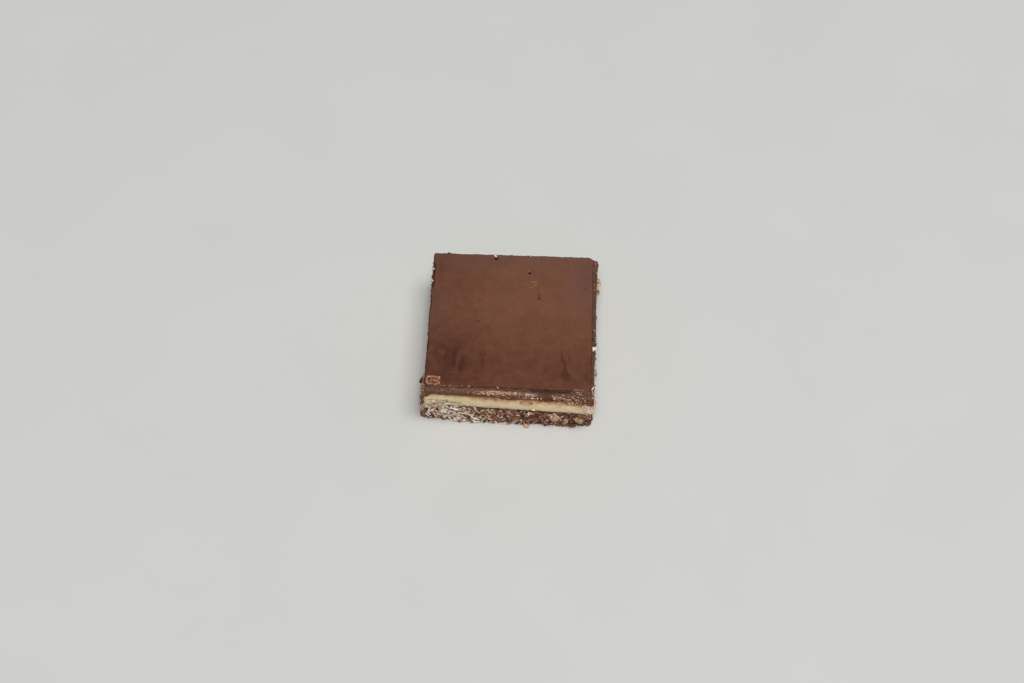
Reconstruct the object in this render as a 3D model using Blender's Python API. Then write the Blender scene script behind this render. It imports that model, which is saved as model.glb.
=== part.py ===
"""Nanaimo bar: a square slice of three layers, cut from a tray and standing on its base.

Metres, +Z up. The origin is the middle of the slice's footprint, on the surface it stands on.
-Y is the front, the side that shows the layers best, and +X is the slice's right side.

From the bottom up the slice is a pressed crumb base, a custard filling and a chocolate topping.
Each layer is a block with a grid on its faces, fitted to the slice: seams that wave and fall
to the right, cut sides that stand out further down, and worn edges and corners.
"""

import math

import bmesh
import bpy
from mathutils import Vector, noise

MM = 0.001

# The whole slice
SIDE = 50 * MM  # edge of the square top
HEIGHT = 19 * MM
HALF = SIDE / 2
COLLECTION_NAME = "nanaimo_bar"

# The seams between the layers
BASE_DEPTH = 8.5 * MM  # in the middle of the slice
BASE_FALL = 0.5 * MM  # the base is this much deeper at the left side, and shallower at the right
CUSTARD_DEPTH = 5.0 * MM
CUSTARD_HEAP = 0.6 * MM  # the custard is deeper by this at the left side
CUSTARD_HEAP_START = -6 * MM  # x where the heap begins
CUSTARD_THINNING = 0.8 * MM  # the custard is shallower by this at the right side
THINNING_START, THINNING_END = 3 * MM, 20 * MM  # x between which it thins
SEAM_WAVE = 0.35 * MM
SEAM_WAVE_SIZE = 17 * MM
TOP_WAVE = 0.12 * MM
TOP_WAVE_SIZE = 14 * MM
SEAM_GAP = 0.3 * MM  # between a layer and the one above it

# How far the foot of each cut side stands out from the square top
FRONT_OUT = 0.45 * MM
FRONT_SLANT = 0.6 * MM  # more at the right end, and less at the left
BACK_OUT = 0.6 * MM
LEFT_OUT = 0.4 * MM
RIGHT_OUT = 1.6 * MM
RIGHT_SWELL = 0.5 * MM  # more towards the right side's back end
RIGHT_SWELL_FROM, RIGHT_SWELL_TO = 9 * MM, 16 * MM  # y between which that grows
CORNER_BULGE = 1.9 * MM  # crumbs squeezed out at the left side's front end
CORNER_BULGE_REACH = 13 * MM  # from the front, along the left side
CORNER_BULGE_FULL = 3 * MM  # nearer to the front than this, the bulge is at its fullest
OUT_FROM, OUT_TO = 17.5 * MM, 9 * MM  # heights where a side starts to stand out, and is fully out
RIGHT_OUT_FROM, RIGHT_OUT_TO = 18.6 * MM, 13.5 * MM  # the same for the right side, which slants higher up
SIDE_WAVE_SIZE = 5.5 * MM
SIDE_FADE = 4  # even power by which a side's shape fades out towards the middle of the slice

# The grid on each block's faces
CELLS_ACROSS = 18
CELLS_UP = 4
EDGE_CELL = 0.7 * MM  # width of the outermost cells, which carry the worn edges

# Each uneven surface has a noise pattern of its own: these, and the one that WEAR names for the sides
BASE_TOP_PATTERN, CUSTARD_TOP_PATTERN, CHOCOLATE_TOP_PATTERN = 1, 2, 3
PATTERN_STEP = 7.3

# Layer by layer: how far the back right corner and the other corners are rounded, seen from above,
# and the lower and the upper edge, and how rough the cut sides are
WEAR = {
    "base": {
        "back_right": 1.7 * MM,
        "corner": 1.7 * MM,
        "foot": 0.6 * MM,
        "rim": 0.0,
        "rough": 0.35 * MM,
        "pattern": 4,
    },
    "custard": {
        "back_right": 1.5 * MM,
        "corner": 1.2 * MM,
        "foot": 0.0,
        "rim": 0.0,
        "rough": 0.12 * MM,
        "pattern": 5,
    },
    "chocolate": {
        "back_right": 2.0 * MM,
        "corner": 0.8 * MM,
        "foot": 0.0,
        "rim": 0.7 * MM,
        "rough": 0.12 * MM,
        "pattern": 6,
    },
}


def smooth_step(value, start, end):
    """0 before start, 1 past end, and a smooth rise between them. End may be below start."""
    t = min(max((value - start) / (end - start), 0.0), 1.0)
    return t * t * (3 - 2 * t)


def wave(x, y, size, pattern):
    """Smooth unevenness from about -1 to 1 with bumps of this size."""
    return noise.noise(Vector((x / size, y / size, PATTERN_STEP * pattern)))


def base_top(x, y):
    """Height of the seam between base and custard."""
    uneven = SEAM_WAVE * wave(x, y, SEAM_WAVE_SIZE, BASE_TOP_PATTERN)
    return BASE_DEPTH - BASE_FALL * x / HALF + uneven


def custard_top(x, y):
    """Height of the seam between custard and chocolate."""
    heap = CUSTARD_HEAP * smooth_step(x, CUSTARD_HEAP_START, -HALF)
    thinning = CUSTARD_THINNING * smooth_step(x, THINNING_START, THINNING_END)
    uneven = SEAM_WAVE * wave(x, y, SEAM_WAVE_SIZE, CUSTARD_TOP_PATTERN)
    return base_top(x, y) + CUSTARD_DEPTH + heap - thinning + uneven


def chocolate_top(x, y):
    """Height of the top face, which is all but flat."""
    return HEIGHT - TOP_WAVE * (0.5 + 0.5 * wave(x, y, TOP_WAVE_SIZE, CHOCOLATE_TOP_PATTERN))


def standing_ground(_x, _y):
    return 0.0


def above(surface):
    """The surface a seam's gap higher."""
    return lambda x, y: surface(x, y) + SEAM_GAP


def side_out(x, y, height):
    """How far the cut sides nearest to this point stand out at this height, along X and along Y."""
    low = smooth_step(height, OUT_FROM, OUT_TO)
    if x > 0:
        swell = RIGHT_SWELL * smooth_step(y, RIGHT_SWELL_FROM, RIGHT_SWELL_TO)
        across = (RIGHT_OUT + swell) * smooth_step(height, RIGHT_OUT_FROM, RIGHT_OUT_TO)
    else:
        bulge = CORNER_BULGE * smooth_step(y + HALF, CORNER_BULGE_REACH, CORNER_BULGE_FULL)
        across = low * (LEFT_OUT + bulge)
    along = low * (BACK_OUT if y > 0 else FRONT_OUT + FRONT_SLANT * x / HALF)
    return across, along


def spread_line(place):
    """Moves a grid line, from -1 to 1, so that the outermost cells are EDGE_CELL wide."""
    even_edge = 1 - 2 / CELLS_ACROSS
    if abs(place) > (1 + even_edge) / 2:
        return math.copysign(1.0, place)
    return place / even_edge * (1 - EDGE_CELL / HALF)


def rounded(offset, inner):
    """Rounds a block's edges: offset is a point's, and inner the half sizes of the unrounded core."""
    beyond = Vector(max(abs(o) - i, 0.0) for o, i in zip(offset, inner))
    if beyond.length == 0:
        return offset
    scale = max(beyond) / beyond.length
    return Vector(math.copysign(min(abs(o), i) + b * scale, o) for o, i, b in zip(offset, inner, beyond))


def worn(x, y, share, depth, wear):
    """Where a point of a plain block goes once its corners, its foot and its rim are rounded.
    The share is the point's height in the layer, from 0 to 1, and depth is the layer's."""
    corner = wear["back_right"] if x > 0 and y > 0 else wear["corner"]
    x, y, _ = rounded(Vector((x, y, 0.0)), (HALF - corner, HALF - corner, depth))
    edge = wear["rim"] if share > 0.5 else wear["foot"]
    if edge == 0:
        return x, y, share
    half_depth = depth / 2
    up = (share * 2 - 1) * half_depth
    inner = (HALF - edge, HALF - edge, half_depth - edge)
    x, y, up = rounded(Vector((x, y, up)), inner)
    return x, y, (up / half_depth + 1) / 2


def level_between(lower, upper, x, y, share):
    """Height of a point that lies this share of the way from one surface to another."""
    return lower(x, y) + share * (upper(x, y) - lower(x, y))


def fit_to_slice(co, lower, upper, wear):
    """Where a vertex of the unit block (each side from -1 to 1) goes in the slice."""
    place_x, place_y = spread_line(co.x), spread_line(co.y)
    x, y = place_x * HALF, place_y * HALF
    x, y, share = worn(x, y, (co.z + 1) / 2, upper(x, y) - lower(x, y), wear)
    height = level_between(lower, upper, x, y, share)
    out_x, out_y = side_out(x, y, height)
    rough = wear["rough"] * wave(x + y, height, SIDE_WAVE_SIZE, wear["pattern"])
    x += place_x**SIDE_FADE * math.copysign(1, x) * (out_x + rough)
    y += place_y**SIDE_FADE * math.copysign(1, y) * (out_y + rough)
    return Vector((x, y, level_between(lower, upper, x, y, share)))


def grid_block():
    """A block from -1 to 1 on each axis, with a grid on its faces."""
    bm = bmesh.new()
    bmesh.ops.create_cube(bm, size=2)
    upright = [e for e in bm.edges if abs(e.verts[0].co.z - e.verts[1].co.z) > 1]
    level = [e for e in bm.edges if e not in upright]
    bmesh.ops.subdivide_edges(bm, edges=level, cuts=CELLS_ACROSS - 1, use_grid_fill=True)
    upright = [e for e in bm.edges if abs(e.verts[0].co.z - e.verts[1].co.z) > 1]
    bmesh.ops.subdivide_edges(bm, edges=upright, cuts=CELLS_UP - 1, use_grid_fill=True)
    return bm


def food_material(name, colour, roughness):
    """A Principled material with the layer's own colour, in linear RGB."""
    material = bpy.data.materials.new(name)
    material.use_nodes = True
    shader = material.node_tree.nodes["Principled BSDF"]
    shader.inputs["Base Color"].default_value = (*colour, 1.0)
    shader.inputs["Roughness"].default_value = roughness
    shader.inputs["Metallic"].default_value = 0.0
    return material


def chocolate_material():
    return food_material("chocolate", (0.155, 0.067, 0.041), 0.38)


def custard_material():
    return food_material("custard", (0.62, 0.50, 0.29), 0.55)


def base_material():
    return food_material("base", (0.165, 0.088, 0.055), 0.85)


def make_layer(name, lower, upper, material, collection):
    """One layer of the slice as a closed block between two surfaces."""
    bm = grid_block()
    for vert in bm.verts:
        vert.co = fit_to_slice(vert.co, lower, upper, WEAR[name])
    bmesh.ops.recalc_face_normals(bm, faces=bm.faces)
    mesh = bpy.data.meshes.new(name)
    bm.to_mesh(mesh)
    bm.free()
    mesh.materials.append(material)
    obj = bpy.data.objects.new(name, mesh)
    collection.objects.link(obj)
    return obj


def centre_on_origin(objects):
    """Shifts the layers together so that the middle of their common footprint is at X = Y = 0."""
    points = [vert.co for obj in objects for vert in obj.data.vertices]
    middle_x = (min(p.x for p in points) + max(p.x for p in points)) / 2
    middle_y = (min(p.y for p in points) + max(p.y for p in points)) / 2
    for obj in objects:
        for vert in obj.data.vertices:
            vert.co -= Vector((middle_x, middle_y, 0))


def clear_scene():
    for obj in list(bpy.data.objects):
        bpy.data.objects.remove(obj, do_unlink=True)


def make_slice():
    clear_scene()
    collection = bpy.data.collections.new(COLLECTION_NAME)
    bpy.context.scene.collection.children.link(collection)
    layers = [
        make_layer("base", standing_ground, base_top, base_material(), collection),
        make_layer("custard", above(base_top), custard_top, custard_material(), collection),
        make_layer("chocolate", above(custard_top), chocolate_top, chocolate_material(), collection),
    ]
    centre_on_origin(layers)


make_slice()
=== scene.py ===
"""The looks of a nanaimo bar: a square slice of pressed crumb base, custard and chocolate.

Each packed layer is replaced by a finely divided one of much the same shape, with the relief that
the knife and the crumbs leave. Coconut, crumbs and nuts are small solids pressed into the cut
sides. Shapes are worked out in millimetres from the middle of the square top, with Z from the
surface that the slice stands on. make_piece() moves them to the row frame, in metres.
"""

import itertools
import math

import bmesh
import bpy
import numpy as np
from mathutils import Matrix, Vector, geometry, noise


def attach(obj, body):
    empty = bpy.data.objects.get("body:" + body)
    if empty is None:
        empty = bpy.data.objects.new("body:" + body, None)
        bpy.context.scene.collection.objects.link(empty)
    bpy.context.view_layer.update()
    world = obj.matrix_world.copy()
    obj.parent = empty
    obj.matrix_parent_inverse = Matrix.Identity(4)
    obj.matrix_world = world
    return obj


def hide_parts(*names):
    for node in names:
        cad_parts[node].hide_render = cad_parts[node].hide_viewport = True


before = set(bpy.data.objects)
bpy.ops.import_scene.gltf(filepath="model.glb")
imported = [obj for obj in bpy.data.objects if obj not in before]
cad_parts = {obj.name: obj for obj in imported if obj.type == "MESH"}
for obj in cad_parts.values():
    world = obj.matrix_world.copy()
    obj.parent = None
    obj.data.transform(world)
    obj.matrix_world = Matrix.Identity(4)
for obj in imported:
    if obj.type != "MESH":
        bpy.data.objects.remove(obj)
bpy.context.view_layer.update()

MM = 0.001
BODY = "root"
SQUARE_MIDDLE = np.array([0.11, 0.18, 0.0])  # the middle of the square top in the row frame, in mm

# ---- The slice's own surfaces (mm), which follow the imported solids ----

HALF = 25.0  # of the square top's edge
HEIGHT = 19.0

# The seams: the base falls to the right, and the custard is heaped at the left and thins to the right
BASE_DEPTH, BASE_FALL = 8.5, 0.5
CUSTARD_DEPTH, CUSTARD_HEAP, CUSTARD_HEAP_START = 5.0, 0.6, -3.0
CUSTARD_THINNING, THINNING_START, THINNING_END = 0.8, 3.0, 20.0
SEAM_WAVE, SEAM_WAVE_SIZE = 0.35, 17.0
TOP_WAVE, TOP_WAVE_SIZE = 0.12, 14.0

# The knife pulled the seams down at the front: the base's at its right end, and the custard's at
# both ends and in two dips
PULL_START, PULL_FULL = -20.0, -24.5  # Y between which that grows
BASE_ENDS = ((0.5, 18.0, 23.5),)  # depth, and X between which it grows
CUSTARD_ENDS = ((2.0, -22.4, -25.0), (0.38, 16.0, 21.0))
CUSTARD_DIPS = ((0.6, 1.0, 3.2), (0.38, 11.0, 3.0))  # depth, middle X and half width

# How far the foot of each cut side stands out from the square top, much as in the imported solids
FRONT_OUT, FRONT_SLANT, BACK_OUT, LEFT_OUT, RIGHT_OUT = 0.45, 0.6, 0.6, 0.4, 1.3
RIGHT_TOP_OUT = 0.4  # how far the right side's upper edge stands out
RIGHT_DRAW, RIGHT_DRAW_FROM, RIGHT_DRAW_TO = 0.25, -4.0, -12.0  # less towards the front
RIGHT_SWELL, RIGHT_SWELL_FROM, RIGHT_SWELL_TO = 0.2, 11.0, 18.0  # more towards the back
# Crumbs squeezed out at the left side's front end: how far, and how far from the front the bulge
# ends and is at its fullest
CORNER_BULGE, CORNER_BULGE_REACH, CORNER_BULGE_FULL = 1.15, 12.0, 3.0
OUT_FROM, OUT_TO = 17.5, 9.0  # heights where a side starts to stand out, and is fully out
RIGHT_OUT_FROM, RIGHT_OUT_TO = 18.6, 11.0
BACK_RIGHT_OUT_TO, BACK_RIGHT_FROM, BACK_RIGHT_TO = 17.0, 20.5, 23.5  # near the back right corner
SIDE_WAVE_SIZE = 5.5

PATTERN_STEP = 7.3
BASE_TOP_PATTERN, CUSTARD_TOP_PATTERN, CHOCOLATE_TOP_PATTERN = 1, 2, 3

# Layer by layer: how far the corners and the back right corner are rounded, and how rough the cut
# sides are
WEAR = {
    "base": {"corner": 1.7, "back_right": 1.7, "rough": 0.35, "pattern": 4},
    "custard": {"corner": 1.2, "back_right": 1.5, "rough": 0.12, "pattern": 5},
    "chocolate": {"corner": 0.8, "back_right": 1.7, "rough": 0.12, "pattern": 6},
}
LOW_CORNER, LOW_CORNER_END, HIGH_CORNER_START = 0.7, 17.0, 18.5  # the back right corner lower down
LEAST_CORNER = 0.8  # share of a corner's rounding that is left further in


def smooth_step(value, start, end):
    """0 before start, 1 past end, and a smooth rise between them. End may be below start."""
    t = np.clip((value - start) / (end - start), 0.0, 1.0)
    return t * t * (3 - 2 * t)


def between(value, start, full, fade, end):
    """1 between full and fade, 0 before start and past end, and smooth in between."""
    return smooth_step(value, start, full) * smooth_step(value, end, fade)


def hill(value, middle, half_width, power=2):
    """1 in the middle and 0 far from it. A higher even power gives a flatter top."""
    return np.exp(-(((value - middle) / half_width) ** power))


def wave(x, y, size, pattern):
    """Smooth unevenness from about -1 to 1 with bumps of this size."""
    x, y = np.broadcast_arrays(x / size, y / size)
    depth = PATTERN_STEP * pattern
    values = [noise.noise((a, b, depth)) for a, b in zip(x.ravel().tolist(), y.ravel().tolist())]
    return np.array(values).reshape(x.shape)


def pulled_down(x, y, ends, dips=()):
    """How far the knife pulled a seam down at the front."""
    pull = sum(depth * smooth_step(x, start, full) for depth, start, full in ends)
    pull = pull + sum(depth * hill(x, middle, half_width) for depth, middle, half_width in dips)
    return pull * smooth_step(y, PULL_START, PULL_FULL)


def base_top(x, y):
    uneven = SEAM_WAVE * wave(x, y, SEAM_WAVE_SIZE, BASE_TOP_PATTERN)
    return BASE_DEPTH - BASE_FALL * x / HALF + uneven - pulled_down(x, y, BASE_ENDS)


def custard_top(x, y):
    heap = CUSTARD_HEAP * smooth_step(x, CUSTARD_HEAP_START, -HALF)
    thinning = CUSTARD_THINNING * smooth_step(x, THINNING_START, THINNING_END)
    uneven = SEAM_WAVE * wave(x, y, SEAM_WAVE_SIZE, CUSTARD_TOP_PATTERN)
    pulled = pulled_down(x, y, CUSTARD_ENDS, CUSTARD_DIPS)
    return base_top(x, y) + CUSTARD_DEPTH + heap - thinning + uneven - pulled


def chocolate_top(x, y):
    return HEIGHT - TOP_WAVE * (0.5 + 0.5 * wave(x, y, TOP_WAVE_SIZE, CHOCOLATE_TOP_PATTERN))


def standing_ground(x, _y):
    return np.zeros_like(x)


def side_out(x, y, height):
    """How far the cut sides nearest to these points stand out there, along X and along Y."""
    low = smooth_step(height, OUT_FROM, OUT_TO)
    swell = RIGHT_SWELL * smooth_step(y, RIGHT_SWELL_FROM, RIGHT_SWELL_TO)
    swell = swell - RIGHT_DRAW * smooth_step(y, RIGHT_DRAW_FROM, RIGHT_DRAW_TO)
    near_back = smooth_step(y, BACK_RIGHT_FROM, BACK_RIGHT_TO)
    full_height = RIGHT_OUT_TO + (BACK_RIGHT_OUT_TO - RIGHT_OUT_TO) * near_back
    right = (RIGHT_OUT + swell) * smooth_step(height, RIGHT_OUT_FROM, full_height) + RIGHT_TOP_OUT
    bulge = CORNER_BULGE * smooth_step(y + HALF, CORNER_BULGE_REACH, CORNER_BULGE_FULL)
    across = np.where(x > 0, right, low * (LEFT_OUT + bulge))
    along = low * np.where(y > 0, BACK_OUT, FRONT_OUT + FRONT_SLANT * x / HALF)
    return across, along


def outline(place_x, place_y, inset, wear, height=HEIGHT):
    """Points of the square top's outline, this far inside it and with a layer's rounded corners.
    Places are on the unit square, from -1 to 1. The back right corner is rounded less lower down."""
    half = HALF - inset
    rise = smooth_step(height, LOW_CORNER_END, HIGH_CORNER_START)
    back_right = LOW_CORNER + (wear["back_right"] - LOW_CORNER) * rise
    corner = np.where((place_x > 0) & (place_y > 0), back_right, wear["corner"])
    core = half - np.maximum(corner - inset, LEAST_CORNER * corner)
    x, y = place_x * half, place_y * half
    beyond_x, beyond_y = np.maximum(np.abs(x) - core, 0), np.maximum(np.abs(y) - core, 0)
    scale = np.maximum(beyond_x, beyond_y) / np.maximum(np.hypot(beyond_x, beyond_y), 1e-9)
    x = np.sign(x) * (np.minimum(np.abs(x), core) + beyond_x * scale)
    y = np.sign(y) * (np.minimum(np.abs(y), core) + beyond_y * scale)
    return x, y


def wall_points(places, height, inset, wear):
    """Where the cut side of a layer passes at these heights, as an array of X, Y and Z."""
    x, y = outline(*places, inset, wear, height)
    out_x, out_y = side_out(x, y, height)
    rough = wear["rough"] * wave(x + y, height, SIDE_WAVE_SIZE, wear["pattern"])
    x = x + places[0] ** 4 * np.sign(x) * (out_x + rough)
    y = y + places[1] ** 4 * np.sign(y) * (out_y + rough)
    return np.stack(np.broadcast_arrays(x, y, height), axis=-1)


# ---- Noise on arrays of points ----

LATTICE_SIZE = 64
LATTICE_SHAPE = (LATTICE_SIZE,) * 3
lattice_rng = np.random.default_rng(5)
LATTICE = lattice_rng.uniform(-1, 1, LATTICE_SHAPE)
CELL_CENTRES = lattice_rng.uniform(0, 1, LATTICE_SHAPE + (3,))
CELL_TONES = lattice_rng.uniform(0, 1, LATTICE_SHAPE)
SEED_SHIFT = 9.7  # in cells


def smooth_noise(points, size, seed=0):
    """Smooth noise from -1 to 1 with bumps of this size. Size may differ by axis."""
    scaled = points / np.asarray(size) + SEED_SHIFT * seed
    cell = np.floor(scaled).astype(int)
    share = scaled - cell
    share = share * share * (3 - 2 * share)
    total = np.zeros(points.shape[:-1])
    for step in itertools.product((0, 1), repeat=3):
        weight = np.prod(np.where(step, share, 1 - share), axis=-1)
        total += weight * LATTICE[tuple(np.moveaxis((cell + step) % LATTICE_SIZE, -1, 0))]
    return total


def rough_noise(points, size, seed=0, octaves=3):
    """Noise from about -1 to 1 with finer bumps on its bumps."""
    return sum(smooth_noise(points, size / 2**k, seed + k) / 2**k for k in range(octaves)) / 1.5


def crumb_cells(points, size, seed=0):
    """Space packed with crumbs of this size: how far each point is from its crumb's border, from
    0 to about 1, and the crumb's own random number from 0 to 1."""
    scaled = points / np.asarray(size) + SEED_SHIFT * seed
    cell = np.floor(scaled).astype(int)
    nearest, second = np.full(points.shape[:-1], 9.0), np.full(points.shape[:-1], 9.0)
    tone = np.zeros(points.shape[:-1])
    for step in itertools.product((-1, 0, 1), repeat=3):
        index = cell + step
        wrapped = tuple(np.moveaxis(index % LATTICE_SIZE, -1, 0))
        distance = np.linalg.norm(scaled - index - CELL_CENTRES[wrapped], axis=-1)
        closer = distance < nearest
        second = np.where(closer, nearest, np.minimum(second, distance))
        nearest = np.where(closer, distance, nearest)
        tone = np.where(closer, CELL_TONES[wrapped], tone)
    return second - nearest, tone


# ---- Meshes ----

PER_SIDE = 208  # columns of points along each side of a wall
CAP_SPACING = 2.6


def make_piece(name, points, faces, material, marks, sharp_degrees=None):
    """A mesh piece of the slice. Marks give its material one number for each point, by name."""
    mesh = bpy.data.meshes.new(name)
    mesh.from_pydata(((points + SQUARE_MIDDLE) * MM).tolist(), [], faces)
    for mark, values in marks.items():
        attribute = mesh.attributes.new(mark, "FLOAT", "POINT")
        attribute.data.foreach_set("value", np.asarray(values, np.float32))
    mesh.shade_smooth()
    if sharp_degrees is not None:
        mesh.set_sharp_from_angle(angle=math.radians(sharp_degrees))
    mesh.materials.append(material)
    piece = bpy.data.objects.new(name, mesh)
    bpy.context.scene.collection.objects.link(piece)
    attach(piece, BODY)
    return piece


def ring_places():
    """Places of a wall's columns on the unit square, anticlockwise from the front left corner."""
    run, edge = np.linspace(-1, 1, PER_SIDE, endpoint=False), np.ones(PER_SIDE)
    return np.concatenate([run, edge, -run, -edge]), np.concatenate([-edge, run, edge, -run])


def unit(vectors):
    """The vectors' directions, as vectors of length 1."""
    return vectors / np.linalg.norm(vectors, axis=-1, keepdims=True)


def outward(points):
    """Level directions out of a wall, whose points are in rows and columns."""
    along = np.roll(points, -1, axis=1) - np.roll(points, 1, axis=1)
    return unit(np.stack([along[..., 1], -along[..., 0], np.zeros(along.shape[:2])], axis=-1))


def wall_faces(rows, columns):
    """Four-sided faces of a closed wall of points in rows and columns."""
    row, column = np.meshgrid(np.arange(rows - 1), np.arange(columns), indexing="ij")
    right = (column + 1) % columns
    corners = (row * columns + column, row * columns + right)
    upper = ((row + 1) * columns + right, (row + 1) * columns + column)
    return np.stack([*corners, *upper], axis=-1).reshape(-1, 4).tolist()


def flat_cap(ring, surface, first, after, up):
    """Closes a ring of points with triangles over a surface: the further points, and the faces.
    The ring's points are numbered from first, and the further ones from after."""
    count = len(ring)
    steps = np.arange(-HALF + CAP_SPACING, HALF, CAP_SPACING)
    inner_x, inner_y = (c.ravel() for c in np.meshgrid(steps, steps))
    places = [Vector(p) for p in np.concatenate([ring[:, :2], np.stack([inner_x, inner_y], 1)])]
    edges = [(k, (k + 1) % count) for k in range(count)]
    _, _, faces, origins, _, _ = geometry.delaunay_2d_cdt(places, edges, [], 1, 1e-7)
    numbers = [k[0] + (first if k[0] < count else after - count) for k in origins]
    faces = [[numbers[k] for k in face] for face in faces]
    inner = np.stack([inner_x, inner_y, surface(inner_x, inner_y)], axis=-1)
    return inner, faces if up else [face[::-1] for face in faces]


class Wall:
    """A layer's cut sides as points in rows and columns, with the directions out of them."""

    def __init__(self, points, normals):
        self.points, self.normals = points, normals

    def spots(self, side, across, heights):
        """The points nearest to these places along a side and heights, and the directions out of
        the side there. A place is X on the front and back, and Y on the right and left."""
        number = ("front", "right", "back", "left").index(side)
        columns = np.arange(number * PER_SIDE, (number + 1) * PER_SIDE)
        middle = self.points[len(self.points) // 2, columns, number % 2]
        column = columns[np.abs(middle[None, :] - across[:, None]).argmin(axis=1)]
        row = np.abs(self.points[:, column, 2] - heights[None, :]).argmin(axis=0)
        return self.points[row, column], self.normals[row, column]


# ---- The three layers ----

BASE_ROWS, CUSTARD_ROWS, CHOCOLATE_ROWS, RIM_ROWS = 46, 28, 26, 9
FOOT = 0.4  # how far the base's lower edge is rounded


def layer_mesh(points, lower, upper):
    """Points and faces of a closed layer: its wall, and caps over the lower and upper surfaces."""
    rows, columns = points.shape[:2]
    flat, faces = points.reshape(-1, 3), wall_faces(rows, columns)
    for row, surface in ((0, lower), (rows - 1, upper)):
        inner, cap = flat_cap(points[row], surface, row * columns, len(flat), row > 0)
        faces += cap
        flat = np.concatenate([flat, inner])
    return flat, faces


def start_wall(rows, wear):
    """Places round a wall, the shares of its height where its rows are, and the top's outline."""
    places = ring_places()
    return places, np.linspace(0, 1, rows)[:, None], outline(*places, 0, wear)


def padded(values, count, rest=0):
    """A wall's values, and then one number for each further point of a mesh of count points."""
    marks = np.full(count, rest, float)
    marks[: values.size] = values.ravel()
    return marks


def flat_points(x, y):
    """The points' X and Y, with 0 as Z."""
    return np.stack([x, y, np.zeros_like(x)], axis=-1)


def on_front(y, start=-23.5, full=-24.5):
    """1 on the front side and 0 elsewhere, with a smooth change round the corners."""
    return smooth_step(y, start, full)


def crumb_relief(points, size, seed, steps, groove, middle=0.5, sharpness=2):
    """How far packed crumbs of this size stand out, in uneven steps with grooves between them, and
    each crumb's random number."""
    border, tone = crumb_cells(points, size, seed)
    return steps * (tone - middle) + groove * np.minimum(border * sharpness, 1), tone


def under_custard_gap(points, share):
    """How far the base draws back just under the custard, on the right half of the front."""
    x, y, _ = np.moveaxis(points, -1, 0)
    return 0.55 * on_front(y) * between(x, 1, 9, 22.5, 25) * smooth_step(share, 0.74, 0.9)


def front_foot(points):
    """How far the base's front stands out lower down, away from the corners."""
    x, y, z = np.moveaxis(points, -1, 0)
    return 0.4 * on_front(y) * between(x, -20, -15, 12, 17) * smooth_step(z, 3.5, 0.5)


def right_draw(points):
    """How far the base draws back on the right side, so that its crumbs stay in the outline."""
    x, y, _ = np.moveaxis(points, -1, 0)
    return 0.15 * smooth_step(x, 24, 25.5) * smooth_step(np.abs(y), 25.2, 23)


def base_relief(points, share):
    """How far the base's crumbs stand out of its cut sides, and each crumb's random number."""
    coarse, tone = crumb_relief(points, (1.9, 1.9, 1.5), 1, 0.65, 0.3, 0.62, 2.2)
    fine, fine_tone = crumb_relief(points, 0.75, 2, 0.26, 0.12)
    relief = coarse + fine + 0.3 * smooth_noise(points, 4.5, 3)
    relief = relief * (0.15 + 0.85 * smooth_step(share, 1, 0.93)) - 0.42
    relief = np.maximum(relief - under_custard_gap(points, share), -1)
    relief = relief + front_foot(points) - right_draw(points)
    return relief, 0.6 * tone + 0.4 * fine_tone


def make_base(material):
    places, share, edge = start_wall(BASE_ROWS, WEAR["base"])
    height = share * base_top(*edge)
    foot = FOOT * (1 - np.sqrt(1 - (1 - np.minimum(height / FOOT, 1)) ** 2))
    points = wall_points(places, height, foot, WEAR["base"])
    normals = outward(points)
    relief, tone = base_relief(points, share)
    points = points + normals * relief[..., None]
    vertices, faces = layer_mesh(points, standing_ground, base_top)
    marks = {"tone": padded(tone, len(vertices), 0.5)}
    piece = make_piece("crumb_base", vertices, faces, material, marks)
    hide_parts("base")
    return Wall(points, normals)


def custard_relief(points, share):
    """Relief of the custard's cut sides: drag marks of the knife, pores, and a soft swell."""
    drag = 0.05 * smooth_noise(points, (2.2, 2.2, 9), 4) + 0.03 * smooth_noise(points, (0.6, 0.6, 4), 5)
    border, tone = crumb_cells(points, 1.1, 6)
    pore = -0.22 * smooth_step(tone, 0.86, 0.9) * np.minimum(border * 2, 1)
    return drag + 0.14 * np.sin(np.pi * share) + pore + 0.05 * rough_noise(points, 1.6, 7)


def coconut_custard(points):
    """1 where the custard is full of coconut, on the front's left third, and 0 elsewhere."""
    x, y, z = np.moveaxis(points, -1, 0)
    edge = x + 3 * smooth_noise(points, 5, 8) + 1.3 * (z - 10.5)
    return on_front(y) * smooth_step(edge, -11, -17) * smooth_step(z, 12.6, 11.4)


def crumbed_custard(points):
    """1 where brown crumbs cover the custard, round the front left corner, and 0 elsewhere."""
    x, y, _ = np.moveaxis(points, -1, 0)
    ragged = 0.5 * smooth_noise(points, 1.2, 37)
    return smooth_step(x + ragged, -25.25, -25.7) * smooth_step(y + 2 * ragged, -12.5, -15)


def peach_custard(points):
    """How much brown the knife left on the custard's upper part, which the front's left end has not."""
    x, y, _ = np.moveaxis(points, -1, 0)
    return 1 - on_front(y) * smooth_step(x, -6, -13)


def make_custard(material):
    places, share, edge = start_wall(CUSTARD_ROWS, WEAR["custard"])
    low, high = base_top(*edge), custard_top(*edge)
    height = low + share * (high - low)
    points = wall_points(places, height, np.zeros_like(height), WEAR["custard"])
    normals = outward(points)
    coconut = coconut_custard(points)
    lumpy, tone = crumb_relief(points, (0.8, 0.8, 0.6), 9, 0.24, 0.14)
    relief = custard_relief(points, share) + coconut * (lumpy - 0.07)
    points = points + normals * relief[..., None]
    marks = {"up": share + 0 * coconut, "coconut": coconut, "tone": tone}
    marks.update(crumbed=crumbed_custard(points), peach=peach_custard(points))
    vertices, faces = layer_mesh(points, base_top, custard_top)
    marks = {name: padded(values, len(vertices)) for name, values in marks.items()}
    piece = make_piece("custard_layer", vertices, faces, material, marks)
    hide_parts("custard")
    return Wall(points, normals)


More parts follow.
